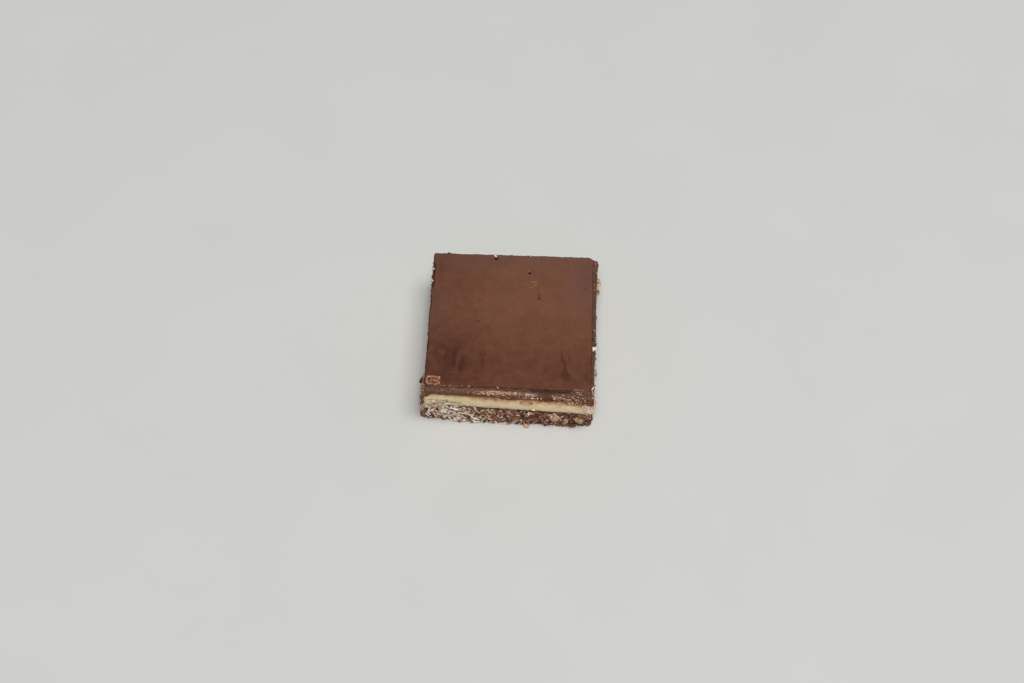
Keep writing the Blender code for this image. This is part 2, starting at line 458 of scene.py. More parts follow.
# Marks that fingers left on the chocolate, and painted light along its front edge: middle, half
# width, half length, lean and strength. Those of strength below 0 are light scrapes, but along the
# front edge, with Y below -23.5, the dark ones are painted shade on the worn rim and the light ones
# painted highlights on it.
SMEARS_AND_PAINTED_LIGHT = (
    (-16.6, -14.6, 4, 6.2, 0.05, 0.55),
    (-18.8, -12.6, 0.9, 3.2, 0.12, 0.7),
    (-16.6, -15, 0.9, 4.4, 0.05, 0.85),
    (-14.2, -15.8, 1.3, 4.8, 0.06, 0.9),
    (-16.6, -20.2, 1.5, 0.3, 0, 0.7),
    (-15, -20.8, 0.35, 0.6, -1.1, 0.6),
    (-18.1, -18.5, 0.25, 0.25, 0, 0.7),
    (19.5, -22.2, 4, 1.3, 0, 0.45),
    (21.8, -24.6, 3, 0.6, 0, -0.8),
    (-15.5, -16.2, 0.25, 3.6, 0.05, -0.5),
    (-16.5, -19.3, 1.3, 0.25, 0, -0.5),
    (-20.8, -11, 2.2, 1.7, 0.25, 0.75),
    (-8.1, -14.7, 1.2, 3.2, 0.03, 0.7),
    (-11, -14.5, 0.35, 3.2, 0, 0.35),
    (-5.2, -14, 0.35, 3, 0, 0.3),
    (-8.5, -21.3, 4.6, 0.7, 0, 0.45),
    (-8.5, -20.3, 4.2, 0.2, 0, -0.2),
    (17.3, -16.4, 0.9, 5.8, -0.2, 0.95),
    (18.6, -13.8, 0.5, 4.4, -0.18, 0.6),
    (17.9, -15.2, 0.3, 4, -0.2, -0.35),
    (17.8, -19.8, 1.7, 2.4, -0.2, 0.75),
    (23.9, -20.8, 0.6, 2.4, 0, 0.6),
    (11.4, -17.2, 1.8, 2.2, 0, 0.5),
    (8.4, 10.4, 0.55, 2.6, -0.15, 0.6),
    (8.7, 8.6, 0.55, 0.7, 0, 0.95),
    (6.9, 14.9, 0.9, 0.26, 0, -1.3),
    (7.6, 14.9, 0.4, 0.3, 0, -2),
    (7.3, 13.8, 0.5, 0.24, 0, -1.6),
    (6.3, 12.9, 1, 0.26, 0, -1),
    (9.6, 2.8, 1.1, 0.3, 0.4, -0.4),
    (1.8, -10, 1.3, 0.3, 0.3, -0.3),
    (-9.6, -0.4, 1, 0.5, 0, 0.65),
    (-11, 4.8, 0.6, 0.5, 0, -0.35),
    (-22.2, 17, 1.4, 4.5, 0, 0.4),
    (-6, -24.5, 10, 0.5, 0, 0.5),
    (8, -24.6, 9, 0.5, 0, 0.6),
    (-17.5, -24.4, 6, 0.35, 0, -0.75),
    (-3, -23.9, 6, 0.2, 0, -0.3),
    (14, -23.6, 6, 0.25, 0, 0.4),
)
# Pits in the chocolate: middle, radius and depth. Each is also painted dark, as shade in its hollow.
PITS = (
    (5.4, 18.4, 0.5, 0.4),
    (22.9, 13.2, 0.3, 0.25),
    (-9.7, 0.2, 0.25, 0.08),
    (-5.3, 23.7, 0.65, 0.5),
    (12.6, 21.7, 0.3, 0.1),
    (-19.5, 3.5, 0.25, 0.08),
)


def smear_and_painted_light_marks(x, y):
    """How much the top is smeared at these points: up to 1 where it is dark, below 0 where it is
    scraped light or painted with highlights along the front edge, and above 1 in the deeper pits.
    The pits and the dark marks along the front edge are painted shade."""
    flat = flat_points(x, y)
    ragged = 0.5 * smooth_noise(flat, (0.65, 3, 1), 10) + 0.5 * smooth_noise(flat, (1.4, 1.8, 1), 11)
    dark, light = np.zeros_like(x), np.zeros_like(x)
    # the pits are painted dark, as shade in their hollows
    for middle_x, middle_y, radius, depth in PITS:
        distance = np.hypot(x - middle_x, y - middle_y)
        dark = np.maximum(dark, min(depth * 4, 1.6) * hill(distance, 0, radius, 4))
    x = x + 0.3 * smooth_noise(flat, (1, 1.6, 1), 39)
    wobble = smooth_noise(flat, (0.5, 1.5, 1), 40)
    for middle_x, middle_y, half_width, half_length, lean, strength in SMEARS_AND_PAINTED_LIGHT:
        along = (y + min(0.8, 0.25 * half_length) * wobble - middle_y) / half_length
        across = (x - middle_x - lean * (y - middle_y)) / half_width
        mark = abs(strength) * np.clip(np.exp(-(across**2) - np.abs(along) ** 3) * (1 + ragged), 0, 1)
        if strength > 0:
            dark = np.maximum(dark, mark)
        else:
            light = np.maximum(light, mark)
    return dark - light


def painted_shade_marks(x, y):
    """How much painted shade darkens the chocolate's top: 0 on the back right, and 1 in the front left
    corner.
    """
    return 0.6 * smooth_step(y, 6, -18) + 0.4 * smooth_step(x, 2, -22)


def bloom_and_sheen_marks(x, y):
    """How much greyish bloom and painted sheen the chocolate's top has, which is most towards the back
    and right.
    """
    right = smooth_step(x, 13, 24) * smooth_step(y, -4, 14)
    left = 0.35 * smooth_step(x, -14, -24)
    return np.maximum(np.maximum(right, left), 0.7 * smooth_step(y, 14, 24))


def top_relief(x, y):
    """Fine relief on the chocolate's top: ripples of the spreading, smears and pits."""
    flat = flat_points(x, y)
    relief = 0.04 * smooth_noise(flat, 5.5, 12) + 0.01 * smooth_noise(flat, (1.4, 2.6, 1), 13)
    relief -= 0.025 * smear_and_painted_light_marks(x, y)
    for middle_x, middle_y, radius, depth in PITS:
        relief -= depth * hill(np.hypot(x - middle_x, y - middle_y), 0, radius)
    return relief


def rim_radius(x, y):
    """How far the chocolate's upper edge is worn off, which differs along it."""
    flat = flat_points(x, y)
    chips = smooth_step(smooth_noise(flat, 2.3, 14), 0.25, 0.75)
    right = np.maximum(smooth_step(x, 23.5, 24.5), smooth_step(y, 23.5, 24.5))
    scar = smooth_step(x, -23.5, -24.5) * between(y, 11, 14, 20.5, 22.5)
    radius = 0.27 - 0.07 * right + 0.07 * rough_noise(flat, 1.2, 15) + (0.3 - 0.2 * right) * chips
    radius = radius + 0.4 * on_front(y) * smooth_step(x, 18, 22)
    return radius + scar * (0.7 + 0.3 * smooth_noise(flat, 1.1, 32))


def front_ledge(points):
    """How far the chocolate's front is broken back: above a narrow ledge on its left two thirds,
    and in a groove under the edge on the rest."""
    x, y, z = np.moveaxis(points, -1, 0)
    step = 17.6 + 0.35 * smooth_noise(points * [1, 0, 0], 3.4, 16)
    depth = 0.2 + 0.15 * smooth_noise(points * [1, 0, 0], 2.2, 17)
    ledge = depth * smooth_step(x, 11, 8.5) * smooth_step(z, step - 0.25, step + 0.2)
    groove = 0.4 * smooth_step(x, 6, 10) * between(z, 16.9, 17.5, 18.3, 18.7)
    return on_front(y, full=-24.4) * (ledge + groove)


# Patches of pale dust on the chocolate's front: strength, middle X, half length, evenness, middle
# height, half height, how far the patch leans to the left for each mm up, and how far it falls for
# each mm to the right
DUST = (
    (1.15, 1, 8, 4, 16.7, 0.75, 0, 0.05),
    (0.55, -7.5, 3, 2, 16.5, 0.7, 0, 0),
    (0.14, -16, 7.5, 4, 17, 1.1, 0, 0),
    (0.3, 18.62, 4.5, 4, 15, 1.9, 0.6, 0),
    (0.4, 22.5, 2.6, 4, 18.3, 0.9, 0, 0),
)


def dust_marks(points):
    """How much pale dust the knife dragged over the chocolate's front, from 0 to 1."""
    x, y, z = np.moveaxis(points, -1, 0)
    dust = np.zeros_like(x)
    for strength, middle_x, half_length, evenness, middle_z, half_height, lean, fall in DUST:
        along = hill(x + lean * (z - middle_z), middle_x, half_length, evenness)
        dust += strength * along * hill(z + fall * (x - middle_x), middle_z, half_height)
    patchy = 0.65 + 0.6 * rough_noise(points, 1.6, 36)
    return np.clip(on_front(y, -23.8, -24.6) * dust * patchy, 0, 1)


def painted_wall_shade(points):
    """How much painted shade darkens the chocolate's cut sides, from 0 to 1: painted shadow in the
    groove under the top's edge, a darker right half of the front, and a darker right side.
    """
    x, y, z = np.moveaxis(points, -1, 0)
    front = on_front(y, -23.8, -24.6)
    # painted shadow in the groove under the overhanging top edge
    under_edge = between(x, 3, 8, 19, 22) * smooth_step(z, 16.9, 17.5)
    painted_shade = front * (0.62 * smooth_step(x, 6, 10.5) + 0.5 * under_edge)
    right = (0.6 - 0.5 * between(y, 19, 23, 24.6, 25.4)) * smooth_step(x, 24.2, 24.9)
    return np.clip(painted_shade + right * (1 - front), 0, 1)


def drawn_custard(points):
    """How much custard the knife drew up over the chocolate's lower edge, from 0 to 1."""
    x, y, z = np.moveaxis(points, -1, 0)
    reach = 0.35 * smooth_step(x, -5, -13) + 0.5 * smooth_step(x, 6, 12) + 0.35 * smooth_step(x, 14, 20)
    reach = 0.5 + on_front(y) * reach + 0.2 * smooth_noise(points, (2.5, 2.5, 40), 38)
    return smooth_step(z - custard_top(x, y), reach, -0.3)


def chocolate_relief(points):
    """Relief of the chocolate's cut sides, where it broke and crumbled under the knife."""
    broken, _ = crumb_relief(points, (1.2, 1.2, 0.9), 18, 0.16, 0.1)
    scratches = 0.05 * smooth_noise(points, (0.5, 0.5, 3.5), 19)
    return broken + scratches + 0.09 * rough_noise(points, 1.4, 20)


def fill_square(ring):
    """Points inside a ring of four equally long sides, blended from them."""
    ring = np.concatenate([ring, ring[:1]])
    front, right = ring[: PER_SIDE + 1], ring[PER_SIDE : 2 * PER_SIDE + 1]
    back, left = ring[2 * PER_SIDE : 3 * PER_SIDE + 1][::-1], ring[3 * PER_SIDE :][::-1]
    across = np.linspace(0, 1, PER_SIDE + 1)[None, :, None]
    away = np.linspace(0, 1, PER_SIDE + 1)[:, None, None]
    sides = front[None] * (1 - away) + back[None] * away
    sides = sides + left[:, None] * (1 - across) + right[:, None] * across
    near = front[0] * (1 - across) + front[-1] * across
    far = back[0] * (1 - across) + back[-1] * across
    return (sides - near * (1 - away) - far * away)[1:-1, 1:-1].reshape(-1, 3)


def square_faces(ring_start, inner_start):
    """Four-sided faces inside a ring, whose inner points are numbered row by row from the front."""
    number = np.zeros((PER_SIDE + 1, PER_SIDE + 1), int)
    inner, steps = PER_SIDE - 1, np.arange(PER_SIDE)
    number[1:-1, 1:-1] = inner_start + np.arange(inner * inner).reshape(inner, inner)
    number[0, :-1] = ring_start + steps
    number[:-1, -1] = ring_start + PER_SIDE + steps
    number[-1, 1:] = ring_start + (2 * PER_SIDE + steps)[::-1]
    number[1:, 0] = ring_start + (3 * PER_SIDE + steps)[::-1]
    corners = number[:-1, :-1], number[:-1, 1:], number[1:, 1:], number[1:, :-1]
    return np.stack(corners, axis=-1).reshape(-1, 4).tolist()


def chocolate_wall():
    """The chocolate's cut side and worn rim: points in rows, directions out of them, how much each
    point is on a cut side, from 0 to 1, and the share of the cut side's height."""
    places, share, edge = start_wall(CHOCOLATE_ROWS, WEAR["chocolate"])
    low, high, radius = custard_top(*edge), chocolate_top(*edge), rim_radius(*edge)
    side_height = low + share * (high - radius - low)
    angle = np.linspace(0, math.pi / 2, RIM_ROWS + 1)[1:, None]
    height = np.concatenate([side_height, high - radius * (1 - np.sin(angle))])
    inset = np.concatenate([np.zeros_like(side_height), radius * (1 - np.cos(angle))])
    points = wall_points(places, height, inset, WEAR["chocolate"])
    normals = outward(points)
    cut = np.concatenate([np.ones_like(share), np.cos(angle) ** 0.7]) + 0 * height
    relief = chocolate_relief(points) * cut - front_ledge(points)
    points = points + normals * relief[..., None]
    rim = points[-RIM_ROWS:]
    rim[..., 2] += top_relief(rim[..., 0], rim[..., 1]) * np.sin(angle) ** 2
    return points, normals, cut, share + 0 * low


def chocolate_marks(vertices, cut, up):
    """Marks for the chocolate's material at each point of its mesh, which starts with the wall's."""
    cut, up = padded(cut, len(vertices)), padded(up, len(vertices), 1)
    x, y, _ = vertices.T
    return {
        "cut": cut,
        "up": up,
        "smear_and_painted_light": smear_and_painted_light_marks(x, y),
        "painted_shade": painted_shade_marks(x, y) * (1 - cut) + painted_wall_shade(vertices) * cut,
        "bloom_and_sheen": bloom_and_sheen_marks(x, y),
        "dust": dust_marks(vertices) * (cut > 0),
        "drawn": drawn_custard(vertices) * (cut > 0),
    }


def make_chocolate(material):
    points, normals, cut, up = chocolate_wall()
    rows, columns = points.shape[:2]
    top = fill_square(points[-1])
    top[:, 2] = chocolate_top(top[:, 0], top[:, 1]) + top_relief(top[:, 0], top[:, 1])
    upper = np.concatenate([points.reshape(-1, 3), top])
    faces = wall_faces(rows, columns) + square_faces((rows - 1) * columns, rows * columns)
    inner, cap = flat_cap(points[0], custard_top, 0, len(upper), False)
    vertices = np.concatenate([upper, inner])
    marks = chocolate_marks(vertices, cut, up)
    piece = make_piece("chocolate_topping", vertices, faces + cap, material, marks)
    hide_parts("chocolate")
    return Wall(points[:CHOCOLATE_ROWS], normals[:CHOCOLATE_ROWS])


# ---- Small solids pressed into the sides or lying loose ----


def unit_ball(subdivisions):
    """Points and triangles of a ball made of even triangles."""
    bm = bmesh.new()
    bmesh.ops.create_icosphere(bm, subdivisions=subdivisions, radius=1)
    points = np.array([v.co for v in bm.verts])
    faces = np.array([[v.index for v in f.verts] for f in bm.faces])
    bm.free()
    return points, faces


def turned(normals, spin, tilt, rng, lift=0.0):
    """For each direction out of a side, axes of a solid that lies against it: its length turned
    by spin from level, its breadth, and its thickness, which leans by about tilt from straight out
    and by lift towards up."""
    out = unit(normals + rng.normal(0, tilt, normals.shape) + [0, 0, lift])
    level = np.cross([0, 0, 1], out)
    upright = np.linalg.norm(level, axis=1, keepdims=True) < 0.3  # within 17 degrees of Z
    level = np.where(upright, [1, 0, 0], level)
    level = unit(level - (level * out).sum(axis=1, keepdims=True) * out)
    steep = np.cross(out, level)
    cos, sin = np.cos(spin)[:, None], np.sin(spin)[:, None]
    length = level * cos + steep * sin
    return np.stack([length, np.cross(out, length), out], axis=1)


def placed(local, axes, centres):
    """Moves each solid's own points, (solids, points, 3), to its centre along its axes."""
    return np.einsum("npk,nkc->npc", local, axes) + centres[:, None, :]


def lumps(sizes, ball, facets, rough, rng):
    """Broken crumbs of these sizes: balls made uneven and cut flat on a few sides."""
    count = len(sizes)
    points = np.broadcast_to(ball, (count, *ball.shape)).copy()
    shift = rng.uniform(0, 40, (count, 1, 3))
    points *= 1 + rough * smooth_noise(points + shift, 0.8, 30)[..., None]
    points *= 1 + 0.4 * rough * smooth_noise(points + shift, 0.33, 33)[..., None]
    for _ in range(facets):
        direction = unit(rng.normal(0, 1, (count, 1, 3)))
        limit = rng.uniform(0.45, 0.85, (count, 1))
        beyond = np.maximum((points * direction).sum(-1) - limit, 0)
        points -= beyond[..., None] * direction
    return points * (sizes[:, None, :] / 2)


SHRED_SECTIONS = 7
# The corners of a strip's cross-section, across it and out of it
SHRED_OUTLINE = ((-1, 0), (-0.55, -1), (0.55, -1), (1, 0), (0.55, 1), (-0.55, 1))


def shreds(lengths, widths, thicknesses, rng):
    """Flat strips, bent and twisted, with torn ends: points of six-cornered cross-sections."""
    one_each, each_section = (len(lengths), 1), (len(lengths), SHRED_SECTIONS)
    t = np.linspace(-0.5, 0.5, SHRED_SECTIONS)[None, :]
    bend, sway = rng.normal(0, 0.45, one_each), rng.normal(0, 0.3, one_each)
    length, curve = lengths[:, None], t**2 - 0.08
    centre = np.stack([t * length, sway * length * curve, bend * length * curve], axis=-1)
    taper = 1 - rng.uniform(0.3, 0.75, one_each) * np.abs(2 * t) ** rng.uniform(3, 9, one_each)
    width = widths[:, None] * taper * rng.uniform(0.65, 1.2, each_section) / 2
    thick = thicknesses[:, None] * (0.4 + 0.6 * taper) * rng.uniform(0.8, 1.2, each_section) / 2
    twist = rng.normal(0, 0.45, one_each) * t * 2
    corners = []
    for side, face in SHRED_OUTLINE:
        across, out = side * width, face * thick
        turned_across = across * np.cos(twist) - out * np.sin(twist)
        turned_out = across * np.sin(twist) + out * np.cos(twist)
        corners.append(centre + np.stack([np.zeros_like(across), turned_across, turned_out], axis=-1))
    return np.stack(corners, axis=2).reshape(len(lengths), -1, 3)


def shred_faces():
    """Faces of a strip: two at its start, the sides, and two at its end."""
    start = [[3, 2, 1, 0], [5, 4, 3, 0]]
    end = np.array([[0, 1, 2, 3], [0, 3, 4, 5]]) + (SHRED_SECTIONS - 1) * len(SHRED_OUTLINE)
    return np.concatenate([start, wall_faces(SHRED_SECTIONS, len(SHRED_OUTLINE)), end])


LOWEST = 0.02  # no small solid goes lower than this


class Heap:
    """Collects small solids of one kind, to be joined into one piece."""

    def __init__(self):
        self.points, self.faces, self.tones, self.count = [], [], [], 0

    def add(self, points, faces, tones):
        """Adds solids, (solids, points, 3), that share one list of faces, with a tone for each solid
        or for each point."""
        solids, each = points.shape[:2]
        starts = self.count + np.arange(solids) * each
        self.points.append(points.reshape(-1, 3))
        self.faces += (faces[None] + starts[:, None, None]).reshape(-1, faces.shape[1]).tolist()
        tones = np.ravel(tones)
        self.tones.append(np.repeat(tones, solids * each // max(len(tones), 1)))
        self.count += solids * each

    def finish(self, name, material, slot, sharp_degrees):
        points, tones = np.concatenate(self.points), np.concatenate(self.tones)
        points[:, 2] = np.maximum(points[:, 2], LOWEST)
        return make_piece(name, points, self.faces, material, {"tone": tones}, sharp_degrees)


def skewed(rng, bounds, count, power):
    """Random numbers between two bounds, most of them near the first."""
    return bounds[0] + (bounds[1] - bounds[0]) * rng.uniform(0, 1, count) ** power


def spread_spots(wall, side, across, heights, count, rng):
    """Random spots of a wall between these bounds that keep apart from each other."""
    spots, normals = scatter_spots(wall, side, across, heights, 5 * count, rng)
    taste = rng.uniform(0.6, 1.0, len(spots))
    chosen = [0]
    gap = np.linalg.norm(spots - spots[0], axis=1)
    while len(chosen) < count:
        chosen.append(int(np.argmax(gap * taste)))
        gap = np.minimum(gap, np.linalg.norm(spots - spots[chosen[-1]], axis=1))
    return spots[chosen], normals[chosen]


def scatter_spots(wall, side, across, heights, count, rng, patch=0.0):
    """Random spots of a wall between these bounds. With patch above 0 they gather in patches."""
    tries = int(count * (1 + 3 * patch))
    where = rng.uniform(*across, tries)
    height = rng.uniform(*heights, tries)
    spots, normals = wall.spots(side, where, height)
    if patch > 0:
        order = np.argsort(-(smooth_noise(spots, 3.2, 31) + rng.normal(0, 0.35, tries)))[:count]
        spots, normals = spots[order], normals[order]
    return spots, normals


# Coconut in the cut sides: wall, side, from and to along it, from and to in height, how many,
# lengths, and bounds of the tones. Tones run from stained (0) to clean white (1).
SHRED_FIELDS = (
    ("base", "front", (-25.2, -19), (6.4, 9.2), 36, (1, 2.2), (0.35, 1)),
    ("base", "front", (-24.5, -19), (3.8, 6.4), 24, (0.8, 1.8), (0.35, 0.95)),
    ("base", "front", (-25, -20), (0.6, 3.8), 12, (0.8, 1.8), (0.1, 0.9)),
    ("base", "front", (-19.5, -14), (3.6, 8.4), 34, (1.1, 2.6), (0.2, 1)),
    ("base", "front", (-20.5, -13.5), (1.2, 3.5), 19, (1.1, 2.6), (0.2, 1)),
    ("base", "front", (-14, -10), (3.2, 6), 18, (1.1, 2.6), (0.3, 1)),
    ("base", "front", (-15, -10), (6, 7.8), 9, (1, 2), (0.2, 0.8)),
    ("base", "front", (-16, -9), (0.3, 2.4), 19, (1, 2.3), (0.2, 0.95)),
    ("base", "front", (-10, -4), (0.3, 3.4), 20, (0.7, 1.7), (0.1, 0.9)),
    ("base", "front", (-10, -4), (3.6, 6.4), 14, (0.7, 1.5), (0, 0.75)),
    ("base", "front", (-5, 5.5), (0.2, 2.2), 20, (0.7, 1.6), (0.1, 0.8)),
    ("base", "front", (-5, 6.5), (3, 7.2), 24, (0.6, 1.4), (0, 0.75)),
    ("base", "front", (5, 26), (0.3, 6.4), 20, (0.6, 1.3), (0, 0.6)),
    ("custard", "front", (-25, -15.5), (8.8, 11.6), 26, (0.6, 1.3), (0.15, 0.7)),
    ("custard", "front", (23, 25.5), (7.8, 9.6), 6, (0.8, 1.5), (0.3, 0.8)),
    ("custard", "right", (-25, -22.5), (8.2, 11.4), 9, (0.8, 1.6), (0.3, 0.8)),
    ("base", "left", (-25.5, -22), (5, 9), 10, (0.8, 1.6), (0.5, 1)),
    ("base", "left", (-25, 25), (0.3, 8.4), 150, (0.7, 2.8), (0, 1)),
    ("base", "back", (-25.5, 25.5), (0.3, 8), 160, (0.7, 2.8), (0, 1)),
    ("base", "right", (-25, 25), (0.3, 7.4), 130, (0.7, 2.8), (0, 1)),
    ("custard", "left", (-23, 24), (9.4, 12), 16, (0.6, 1.5), (0.3, 0.9)),
    ("custard", "back", (-24, 24), (9, 11.6), 16, (0.6, 1.5), (0.3, 0.9)),
    ("custard", "right", (-22, 24), (8.8, 11.4), 16, (0.6, 1.5), (0.3, 0.9)),
)


RIGHT_DEEPER = 0.35  # how much deeper the coconut and crumbs of the right side sit


def make_coconut(walls, material):
    rng = np.random.default_rng(21)
    heap, faces = Heap(), shred_faces()
    for layer, side, across, heights, count, lengths, tones in SHRED_FIELDS:
        spots, normals = spread_spots(walls[layer], side, across, heights, count, rng)
        length = skewed(rng, lengths, count, 1.4)
        width = np.minimum(rng.uniform(0.45, 1.1, count), 0.6 * length)
        thick = rng.uniform(0.26, 0.46, count)
        axes = turned(normals, rng.normal(-0.2, 0.5, count), 0.3, rng, 0.45)
        local = shreds(length, width, thick, rng)
        out = rng.uniform(-0.2, 0.25, count) - (RIGHT_DEEPER if side == "right" else 0)
        centres = spots + normals * out[:, None]
        heap.add(placed(local, axes, centres), faces, rng.uniform(*tones, count))
    return heap.finish("coconut_shreds", material, "crumb_base", 45)


# Crumbs in the cut sides: wall, side, from and to along it, from and to in height, how many,
# sizes, and bounds of the tones. Tones run from black-brown (0) to tan (1).
CRUMB_FIELDS = (
    ("base", "front", (-26.5, -10), (0.2, 8), 210, (0.35, 1), (0.05, 0.75)),
    ("base", "front", (-24.5, -19.5), (4, 7.2), 60, (0.35, 0.9), (0.6, 1)),
    ("base", "front", (-12, 6), (0.2, 7.7), 280, (0.3, 1.2), (0.05, 0.85)),
    ("base", "front", (-11, 5.5), (4.4, 7.2), 90, (0.3, 0.9), (0.6, 1.1)),
    ("base", "front", (-11, 8), (2, 5), 90, (0.3, 0.9), (0.6, 1.1)),
    ("base", "front", (4, 26.5), (0.2, 6.9), 340, (0.3, 1.1), (0, 0.8)),
    ("base", "front", (-6, 20), (0.4, 4.4), 90, (0.3, 0.9), (0.5, 0.95)),
    ("base", "left", (-25.5, 25.5), (0.2, 8.8), 500, (0.3, 1.3), (0, 0.9)),
    ("base", "left", (-25.5, -14), (0.2, 8.8), 90, (0.4, 1), (0.5, 1)),
    ("base", "back", (-26, 26), (0.2, 8.6), 500, (0.3, 1.3), (0, 0.9)),
    ("base", "right", (-25.5, 25.5), (0.2, 8.2), 500, (0.3, 1.3), (0, 0.95)),
    ("custard", "left", (-25.5, -14), (8.6, 14.2), 190, (0.3, 0.8), (0.55, 1.1)),
    ("custard", "front", (-27, -25.3), (8.4, 14.4), 50, (0.3, 0.9), (0.1, 0.6)),
    ("base", "front", (-27, -25.4), (0.4, 8.4), 36, (0.4, 1), (0.4, 1)),
    ("custard", "front", (-15, 24), (8.3, 9.1), 30, (0.2, 0.5), (0, 0.6)),
    ("custard", "left", (-13, 24), (8.8, 13.5), 30, (0.2, 0.9), (0.1, 1)),
    ("custard", "back", (-25, 25), (8.4, 13.3), 34, (0.2, 0.9), (0.1, 1)),
    ("custard", "right", (-25, 25), (8.2, 12.2), 44, (0.2, 0.9), (0.1, 0.8)),
    ("chocolate", "front", (-6, 10), (13.9, 16.6), 90, (0.25, 0.7), (0.25, 0.85)),
    ("chocolate", "front", (12, 24.5), (12.8, 17.4), 70, (0.25, 0.7), (0.3, 0.9)),
    ("chocolate", "front", (-24, -6), (14.3, 18), 26, (0.2, 0.5), (0.2, 0.7)),
    ("chocolate", "front", (22, 25.5), (12.6, 18.6), 60, (0.25, 0.75), (0.4, 1)),
    ("chocolate", "front", (-26, -24.6), (14.2, 17.8), 20, (0.3, 0.8), (0.3, 1)),
    ("chocolate", "left", (-24.8, -15), (14.2, 18.2), 70, (0.25, 0.8), (0.55, 1.1)),
    ("chocolate", "left", (12, 22.5), (16.8, 18.6), 50, (0.25, 0.7), (0.1, 0.6)),
    ("chocolate", "left", (-15, 24), (15, 18.4), 26, (0.25, 0.6), (0.2, 0.8)),
    ("chocolate", "right", (-24.5, 24.5), (12.8, 18.2), 60, (0.25, 0.8), (0, 0.5)),
    ("chocolate", "back", (-24, 24), (14.2, 18.4), 30, (0.25, 0.6), (0.2, 0.8)),
)
CRUMB_GRADES = ((0, 0.55, 1), (0.55, 1.15, 2), (1.15, 9, 3))  # sizes, and how finely they are made


def make_crumbs(walls, material):
    rng = np.random.default_rng(22)
    pressed, loose = Heap(), Heap()
    balls = {grade: unit_ball(grade) for _, _, grade in CRUMB_GRADES}
    for layer, side, across, heights, count, sizes, tones in CRUMB_FIELDS:
        spots, normals = scatter_spots(walls[layer], side, across, heights, count, rng)
        size = skewed(rng, sizes, count, 1.8)
        shape = size[:, None] * rng.uniform(0.6, 1.3, (count, 3))
        axes = turned(normals, rng.uniform(0, math.tau, count), 0.5, rng)
        out = size * rng.uniform(-0.25, 0.16, count)
        out -= RIGHT_DEEPER if side == "right" and layer == "base" else 0
        centres = spots + normals * out[:, None]
        tone = skewed(rng, tones, count, 1.4)
        heap = pressed if layer == "base" else loose
        for smallest, largest, grade in CRUMB_GRADES:
            these = (size >= smallest) & (size < largest)
            ball, faces = balls[grade]
            local = lumps(shape[these], ball, 5, 0.45, rng)
            heap.add(placed(local, axes[these], centres[these]), faces, tone[these])
    add_single_lumps(loose, SINGLE_CRUMBS, *balls[3], rng)
    pressed.finish("cocoa_crumbs", material, "crumb_base", 40)
    loose.finish("loose_crumbs", material, "crumb_base", 40)


# Lumps that stand out in the photograph: place, size, and tone
SINGLE_CRUMBS = (
    ((5.9, -26.5, 0.6), (1.7, 1.3, 1.3), 0.95),
    ((-25.95, -17.8, 11.7), (1.8, 4, 2.8), 0.08),
    ((-26.2, -18.8, 9.4), (1, 1.4, 1.2), 0.85),
    ((-26.5, -21, 7.2), (1, 1.5, 1.3), 0.75),
    ((-26.5, -23.4, 3.2), (1, 1.5, 1.6), 0.85),
    ((17.9, -26, 3.6), (1.4, 1, 2), 0.8),
    ((20.5, -26.3, 1.3), (2.6, 1.4, 1.6), 0.3),
    ((-20.4, 25.2, 18.2), (1.6, 1.1, 0.7), 0.2),
    ((-17.3, -24.3, 18.95), (0.6, 0.4, 0.35), 0.85),
    ((-21.9, -24.3, 18.95), (0.45, 0.3, 0.3), 0.9),
    ((-13.6, -24.2, 18.95), (0.5, 0.35, 0.3), 0.7),
    ((-11.4, -24.3, 18.9), (1, 0.45, 0.3), 0.95),
    ((-9.6, -24.5, 18.9), (0.6, 0.3, 0.3), 0.7),
    ((0.6, -24.6, 18.9), (0.5, 0.35, 0.25), 0.5),
    ((26.5, 24.3, 16.2), (1.5, 1.4, 2.4), 0.55),
    ((26.7, 22.6, 14.6), (1.1, 2.2, 1.8), 0.9),
)
SINGLE_GRAINS = (
    ((26, -9.1, 18.3), (1.9, 1.3, 0.9), 1),
    ((-5.5, 24.6, 18.7), (1.3, 0.7, 0.5), 0.95),
    ((-4.5, 24.8, 18.6), (0.9, 0.5, 0.5), 0.9),
    ((5.5, 24.7, 18.75), (0.8, 0.5, 0.4), 0.75),
    ((-24.7, 19, 18.65), (0.7, 0.8, 0.5), 0.9),
    ((-24.8, 14.4, 18.6), (0.5, 0.6, 0.4), 0.8),
    ((-2.7, -24.5, 18.95), (0.9, 0.35, 0.3), 0.5),
    ((8, -25.75, 8.9), (1.4, 0.6, 0.8), 0.8),
    ((6.6, -25.9, 6.7), (0.6, 0.6, 1.9), 0.9),
    ((24.9, -25.4, 11.3), (3.2, 2.2, 3), 0.52),
    ((26, -24.9, 11.3), (1.8, 2.1, 2.4), 0.6),
    ((25.2, -25.5, 9.2), (2.4, 1.7, 2.2), 0.62),
    ((26.2, -24.4, 9.6), (1.4, 2.1, 2.2), 0.6),
)


def large_lump(normals, size, rough, shift, ball, rng):
    """One lump that is large enough to have finer bumps, and axes for it against a side."""
    axes = turned(normals, rng.normal(0, 0.3, 1), 0.12, rng)
    local = lumps(np.array([size]), ball, 4, rough, rng)
    return local * (1 + 0.08 * rough_noise(local + shift, 0.7, 43)[..., None]), axes


def add_single_lumps(heap, single, ball, faces, rng):
    for place, size, tone in single:
        local, axes = large_lump(np.array([[0.0, 0.0, 1.0]]), size, 0.35, place, ball, rng)
        local -= local.mean(axis=1, keepdims=True)
        heap.add(placed(local, axes, np.array([place])), faces, [tone])


